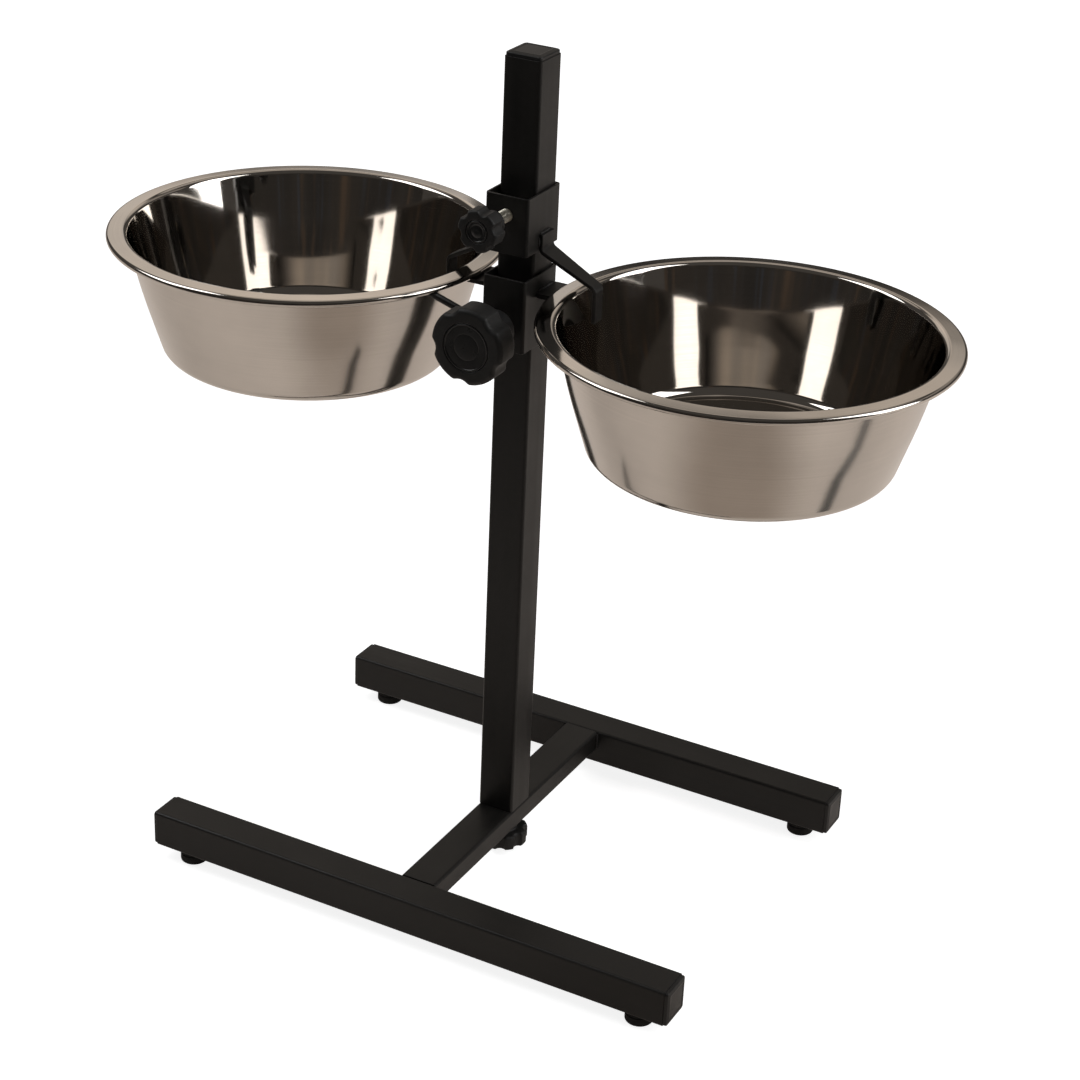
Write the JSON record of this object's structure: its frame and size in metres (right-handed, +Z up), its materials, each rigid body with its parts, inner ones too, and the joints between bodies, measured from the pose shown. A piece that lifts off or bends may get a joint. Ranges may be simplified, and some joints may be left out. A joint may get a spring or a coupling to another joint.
{
  "type": "dog feeder stand",
  "caption": "Free-standing dog feeder: H-shaped tube base, square post and clamped sleeves that carry round steel bowls at a height set by hand knobs.",
  "frame": {"origin": "on the floor under the middle of the post", "axes": "+Z up, +X along the floor bars to the right-hand bowl, +Y away from the hand knobs"},
  "size_m": [0.554, 0.272, 0.548],
  "materials": {
    "coated_steel": "satin black powder coat",
    "cap_plastic": "matt black moulded plastic",
    "foot_rubber": "matt black rubber",
    "zinc_steel": "dull zinc plate",
    "knob_plastic": "fine-grained black moulded plastic",
    "knob_face_plastic": "smooth black moulded plastic",
    "stainless_steel": "mirror-polished inside, satin outside"
  },
  "bodies": {
    "frame": {"front_bar": "coated_steel", "rear_bar": "coated_steel", "cross_bar": "coated_steel", "front_left_cap": "cap_plastic", "front_right_cap": "cap_plastic", "rear_left_cap": "cap_plastic", "rear_right_cap": "cap_plastic", "front_left_foot": "foot_rubber", "front_right_foot": "foot_rubber", "rear_left_foot": "foot_rubber", "rear_right_foot": "foot_rubber", "foot_screws": "zinc_steel", "post": "coated_steel", "post_cap": "cap_plastic", "post_nut": "zinc_steel", "base_washer": "zinc_steel"},
    "base_screw": {"base_screw": "zinc_steel"},
    "base_knob": {"base_knob": "knob_plastic"},
    "lower_carrier": {"lower_sleeve": "coated_steel", "left_plate": "coated_steel", "right_plate": "coated_steel", "left_brace": "coated_steel", "right_brace": "coated_steel", "lower_nut": "zinc_steel"},
    "lower_screw": {"lower_screw": "zinc_steel"},
    "lower_knob": {"lower_knob": "knob_plastic", "lower_knob_face": "knob_face_plastic"},
    "upper_carrier": {"upper_sleeve": "coated_steel", "left_arm": "coated_steel", "right_arm": "coated_steel", "upper_nut": "zinc_steel"},
    "upper_screw": {"upper_screw": "zinc_steel"},
    "upper_knob": {"upper_knob": "knob_plastic", "upper_knob_face": "knob_face_plastic"},
    "left_bowl": {"left_bowl": "stainless_steel"},
    "right_bowl": {"right_bowl": "stainless_steel"}
  },
  "joints": [
    {"name": "lower_lift", "type": "slide", "parent": "frame", "child": "lower_carrier", "axis": [0, 0, 1], "range_m": [-0.3, 0.03]},
    {"name": "upper_lift", "type": "slide", "parent": "lower_carrier", "child": "upper_carrier", "axis": [0, 0, 1], "range_m": [-0.003, 0.04]},
    {"name": "lower_knob_turn", "type": "hinge", "parent": "lower_screw", "child": "lower_knob", "pos_m": [0, -0.052, 0.385], "axis": [0, -1, 0], "range_deg": [0, 725]},
    {"name": "lower_screw_travel", "type": "slide", "parent": "lower_carrier", "child": "lower_screw", "axis": [0, -1, 0], "range_m": [0, 0.0025]},
    {"name": "upper_knob_turn", "type": "hinge", "parent": "upper_screw", "child": "upper_knob", "pos_m": [0, -0.049, 0.454], "axis": [0, -1, 0], "range_deg": [0, 725]},
    {"name": "upper_screw_travel", "type": "slide", "parent": "upper_carrier", "child": "upper_screw", "axis": [0, -1, 0], "range_m": [0, 0.0025]},
    {"name": "base_knob_turn", "type": "hinge", "parent": "base_screw", "child": "base_knob", "pos_m": [0, 0, 0.012], "axis": [0, 0, -1], "range_deg": [0, 545]},
    {"name": "base_screw_travel", "type": "slide", "parent": "frame", "child": "base_screw", "axis": [0, 0, -1], "range_m": [0, 0.00187]},
    {"name": "left_bowl_spin", "type": "hinge", "parent": "lower_carrier", "child": "left_bowl", "pos_m": [-0.152, -0.0057, 0.4], "axis": [0, 0, 1], "continuous": true},
    {"name": "right_bowl_spin", "type": "hinge", "parent": "lower_carrier", "child": "right_bowl", "pos_m": [0.152, -0.0057, 0.4], "axis": [0, 0, 1], "continuous": true}
  ],
  "couplings": [
    {"joint": "lower_knob_turn", "follows": "lower_screw_travel", "rad_per_m": 5026.5},
    {"joint": "upper_knob_turn", "follows": "upper_screw_travel", "rad_per_m": 5026.5},
    {"joint": "base_knob_turn", "follows": "base_screw_travel", "rad_per_m": 5026.5}
  ]
}
